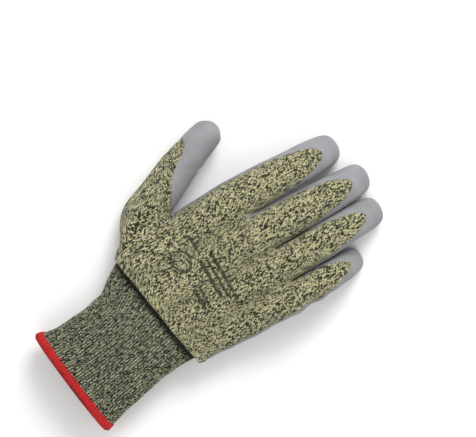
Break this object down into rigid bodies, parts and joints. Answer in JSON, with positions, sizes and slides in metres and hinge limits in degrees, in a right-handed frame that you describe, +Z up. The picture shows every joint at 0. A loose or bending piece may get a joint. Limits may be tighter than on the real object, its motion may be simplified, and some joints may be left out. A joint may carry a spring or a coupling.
{
  "type": "cut resistant glove",
  "caption": "Right-hand knitted work glove: seamless melange-knit liner, grey dipped palm coating and fingertips, long ribbed elastic cuff, red overlocked hem; fingers, thumb and wrist bend.",
  "frame": {"origin": "on the table plane, under the middle of the flat heel of the palm", "axes": "+Y from the wrist towards the fingertips, +X towards the little finger, +Z up out of the back of the hand"},
  "size_m": [0.1466, 0.2474, 0.0411],
  "materials": {
    "knit_liner": "matte melange plain knit, yellow-green and near-black yarn",
    "rib_knit": "matte melange rib knit, a little darker and greener than the liner",
    "grey_coating": "matte grey polyurethane-like film",
    "red_thread": "matte red overlock thread",
    "elastic_yarn": "matte elastic yarn"
  },
  "bodies": {
    "palm": {"palm_liner": "knit_liner", "palm_coating": "grey_coating", "thumb_base_liner": "knit_liner", "thumb_base_coating": "grey_coating", "knuckle_fold": "knit_liner", "wrist_fold": "rib_knit", "thumb_root_fold": "knit_liner"},
    "cuff": {"cuff_rib": "rib_knit", "cuff_elastic": "elastic_yarn", "hem_overlock": "red_thread"},
    "knuckles": {"knuckle_band_liner": "knit_liner", "knuckle_band_coating": "grey_coating", "index_root_fold": "knit_liner", "middle_root_fold": "knit_liner", "ring_root_fold": "knit_liner", "little_root_fold": "knit_liner"},
    "index_base": {"index_base_liner": "knit_liner", "index_base_coating": "grey_coating", "index_middle_fold": "knit_liner"},
    "index_middle": {"index_middle_liner": "knit_liner", "index_middle_coating": "grey_coating", "index_tip_fold": "knit_liner"},
    "index_tip": {"index_tip_liner": "knit_liner", "index_tip_coating": "grey_coating"},
    "middle_base": {"middle_base_liner": "knit_liner", "middle_base_coating": "grey_coating", "middle_middle_fold": "knit_liner"},
    "middle_middle": {"middle_middle_liner": "knit_liner", "middle_middle_coating": "grey_coating", "middle_tip_fold": "knit_liner"},
    "middle_tip": {"middle_tip_liner": "knit_liner", "middle_tip_coating": "grey_coating"},
    "ring_base": {"ring_base_liner": "knit_liner", "ring_base_coating": "grey_coating", "ring_middle_fold": "knit_liner"},
    "ring_middle": {"ring_middle_liner": "knit_liner", "ring_middle_coating": "grey_coating", "ring_tip_fold": "knit_liner"},
    "ring_tip": {"ring_tip_liner": "knit_liner", "ring_tip_coating": "grey_coating"},
    "little_base": {"little_base_liner": "knit_liner", "little_base_coating": "grey_coating", "little_middle_fold": "knit_liner"},
    "little_middle": {"little_middle_liner": "knit_liner", "little_middle_coating": "grey_coating", "little_tip_fold": "knit_liner"},
    "little_tip": {"little_tip_liner": "knit_liner", "little_tip_coating": "grey_coating"},
    "thumb_middle": {"thumb_middle_liner": "knit_liner", "thumb_middle_coating": "grey_coating", "thumb_tip_fold": "knit_liner"},
    "thumb_tip": {"thumb_tip_liner": "knit_liner", "thumb_tip_coating": "grey_coating"}
  },
  "joints": [
    {"name": "wrist_bend", "type": "hinge", "parent": "palm", "child": "cuff", "pos_m": [0, -0.028, 0.016], "axis": [1, 0, 0], "range_deg": [-40, 40], "deforming": ["wrist_fold"]},
    {"name": "knuckle_bend", "type": "hinge", "parent": "palm", "child": "knuckles", "pos_m": [0, 0.047, 0.02275], "axis": [-1, 0, 0], "range_deg": [-15, 40], "deforming": ["knuckle_fold"]},
    {"name": "index_root_bend", "type": "hinge", "parent": "knuckles", "child": "index_base", "pos_m": [-0.036, 0.066, 0.02688], "axis": [-0.9996, 0.0267, 0], "range_deg": [-12, 35], "deforming": ["index_root_fold"]},
    {"name": "index_middle_bend", "type": "hinge", "parent": "index_base", "child": "index_middle", "pos_m": [-0.03534, 0.09091, 0.02492], "axis": [-0.9996, 0.0267, 0], "range_deg": [-12, 72], "deforming": ["index_middle_fold"]},
    {"name": "index_tip_bend", "type": "hinge", "parent": "index_middle", "child": "index_tip", "pos_m": [-0.03468, 0.11553, 0.01658], "axis": [-0.9996, 0.0267, 0], "range_deg": [-8, 40], "deforming": ["index_tip_fold"]},
    {"name": "middle_root_bend", "type": "hinge", "parent": "knuckles", "child": "middle_base", "pos_m": [-0.00835, 0.066, 0.02936], "axis": [-0.9998, 0.0181, 0], "range_deg": [-12, 35], "deforming": ["middle_root_fold"]},
    {"name": "middle_middle_bend", "type": "hinge", "parent": "middle_base", "child": "middle_middle", "pos_m": [-0.00785, 0.09391, 0.02713], "axis": [-0.9998, 0.0181, 0], "range_deg": [-12, 72], "deforming": ["middle_middle_fold"]},
    {"name": "middle_tip_bend", "type": "hinge", "parent": "middle_middle", "child": "middle_tip", "pos_m": [-0.00735, 0.12131, 0.01766], "axis": [-0.9998, 0.0181, 0], "range_deg": [-8, 40], "deforming": ["middle_tip_fold"]},
    {"name": "ring_root_bend", "type": "hinge", "parent": "knuckles", "child": "ring_base", "pos_m": [0.01715, 0.066, 0.02891], "axis": [-1, -0.0063, 0], "range_deg": [-12, 35], "deforming": ["ring_root_fold"]},
    {"name": "ring_middle_bend", "type": "hinge", "parent": "ring_base", "child": "ring_middle", "pos_m": [0.01699, 0.09192, 0.02681], "axis": [-1, -0.0063, 0], "range_deg": [-12, 72], "deforming": ["ring_middle_fold"]},
    {"name": "ring_tip_bend", "type": "hinge", "parent": "ring_middle", "child": "ring_tip", "pos_m": [0.01682, 0.11835, 0.01758], "axis": [-1, -0.0063, 0], "range_deg": [-8, 40], "deforming": ["ring_tip_fold"]},
    {"name": "little_root_bend", "type": "hinge", "parent": "knuckles", "child": "little_base", "pos_m": [0.03965, 0.066, 0.02632], "axis": [-0.9998, -0.0189, 0], "range_deg": [-12, 35], "deforming": ["little_root_fold"]},
    {"name": "little_middle_bend", "type": "hinge", "parent": "little_base", "child": "little_middle", "pos_m": [0.03931, 0.08385, 0.02406], "axis": [-0.9998, -0.0189, 0], "range_deg": [-12, 72], "deforming": ["little_middle_fold"]},
    {"name": "little_tip_bend", "type": "hinge", "parent": "little_middle", "child": "little_tip", "pos_m": [0.03904, 0.09855, 0.01551], "axis": [-0.9998, -0.0189, 0], "range_deg": [-8, 40], "deforming": ["little_tip_fold"]},
    {"name": "thumb_root_bend", "type": "hinge", "parent": "palm", "child": "thumb_middle", "pos_m": [-0.066, 0.018, 0.01302], "axis": [0.5177, 0.2469, 0.8192], "range_deg": [-45, 12], "deforming": ["thumb_root_fold"]},
    {"name": "thumb_tip_bend", "type": "hinge", "parent": "thumb_middle", "child": "thumb_tip", "pos_m": [-0.07695, 0.04375, 0.01218], "axis": [0.5177, 0.2469, 0.8192], "range_deg": [-70, 10], "deforming": ["thumb_tip_fold"]}
  ],
  "couplings": [
    {"joint": "index_tip_bend", "follows": "index_middle_bend", "ratio": 0.5},
    {"joint": "middle_tip_bend", "follows": "middle_middle_bend", "ratio": 0.5},
    {"joint": "ring_tip_bend", "follows": "ring_middle_bend", "ratio": 0.5},
    {"joint": "little_tip_bend", "follows": "little_middle_bend", "ratio": 0.5}
  ]
}
